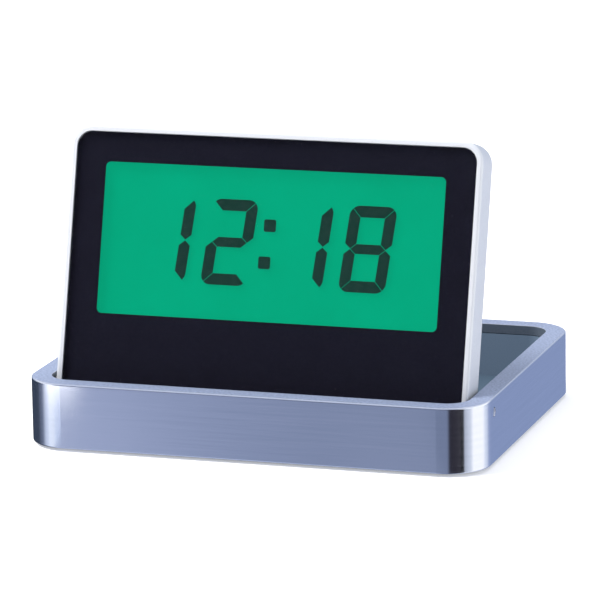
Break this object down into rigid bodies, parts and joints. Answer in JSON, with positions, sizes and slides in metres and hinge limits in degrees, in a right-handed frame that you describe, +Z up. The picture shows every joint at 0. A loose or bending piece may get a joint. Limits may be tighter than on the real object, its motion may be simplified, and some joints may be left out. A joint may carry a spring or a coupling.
{
  "type": "folding desk clock",
  "caption": "Desk clock whose slim backlit display panel stands in a low rounded metal ring on two side pins and folds back flat into it.",
  "frame": {"origin": "on the table, under the middle of the ring", "axes": "+X to the clock's left-to-right width as the viewer sees it, +Y to the back, +Z up"},
  "size_m": [0.1, 0.0788, 0.0653],
  "materials": {
    "frame_metal": "long-grain brushed, bright on the edges",
    "tray_plastic": "fine moulded texture",
    "steel": "plain turned or stamped steel",
    "foot_rubber": "matt",
    "washer_nylon": "plain",
    "bezel_metal": "fine satin, bright",
    "lens_clear": "polished clear acrylic",
    "mask_black": "black print",
    "polariser": "tinted film",
    "lcd_glass": "clear glass",
    "lcd_dark": "dark display segments",
    "seal": "cured resin",
    "guide_green": "translucent green, lit from its edges",
    "white_plastic": "plain moulded",
    "zebra_rubber": "striped conductive rubber",
    "board_green": "solder mask",
    "chip_brown": "ceramic",
    "brass": "plain stamped or turned",
    "cover_plastic": "fine moulded texture",
    "button_plastic": "moulded"
  },
  "bodies": {
    "base": {"base_frame": "frame_metal", "base_tray": "tray_plastic", "tray_screws": "steel", "foot_pads": "foot_rubber", "hinge_pin_left": "steel", "hinge_pin_right": "steel", "friction_washer_left": "washer_nylon", "friction_washer_right": "washer_nylon"},
    "panel": {"front_bezel": "bezel_metal", "face_lens": "lens_clear", "mask_print": "mask_black", "front_polariser": "polariser", "lcd_front_glass": "lcd_glass", "lcd_digits": "lcd_dark", "lcd_seal": "seal", "lcd_rear_glass": "lcd_glass", "rear_polariser": "polariser", "light_guide": "guide_green", "reflector_sheet": "white_plastic", "backlight_leds": "white_plastic", "zebra_strip": "zebra_rubber", "lcd_holder": "white_plastic", "circuit_board": "board_green", "chip_blob": "mask_black", "quartz_crystal": "steel", "smd_parts": "chip_brown", "switch_domes": "steel", "piezo_buzzer": "brass", "buzzer_leads": "steel", "cell_holder": "mask_black", "coin_cell": "steel", "contact_plus": "brass", "contact_minus": "brass", "rear_cover": "cover_plastic", "cover_screws": "steel", "hinge_bush_left": "brass", "hinge_bush_right": "brass"},
    "mode_key": {"mode_button": "button_plastic"},
    "set_key": {"set_button": "button_plastic"},
    "adjust_key": {"adjust_button": "button_plastic"},
    "light_key": {"light_button": "button_plastic"},
    "cell_door": {"cell_cover": "cover_plastic"}
  },
  "joints": [
    {"name": "panel_fold", "type": "hinge", "parent": "base", "child": "panel", "pos_m": [0, -0.0278, 0.0114], "axis": [-1, 0, 0], "range_deg": [0, 74.6]},
    {"name": "mode_press", "type": "slide", "parent": "panel", "child": "mode_key", "axis": [0, -0.9641, 0.2656], "range_m": [0, 0.0005], "stiffness_N_per_m": 1500},
    {"name": "set_press", "type": "slide", "parent": "panel", "child": "set_key", "axis": [0, -0.9641, 0.2656], "range_m": [0, 0.0005], "stiffness_N_per_m": 1500},
    {"name": "adjust_press", "type": "slide", "parent": "panel", "child": "adjust_key", "axis": [0, -0.9641, 0.2656], "range_m": [0, 0.0005], "stiffness_N_per_m": 1500},
    {"name": "light_press", "type": "slide", "parent": "panel", "child": "light_key", "axis": [0, -0.9641, 0.2656], "range_m": [0, 0.0005], "stiffness_N_per_m": 1500},
    {"name": "cell_cover_turn", "type": "hinge", "parent": "panel", "child": "cell_door", "pos_m": [0, -0.02177, 0.01482], "axis": [0, 0.9641, -0.2656], "range_deg": [0, 45]}
  ]
}
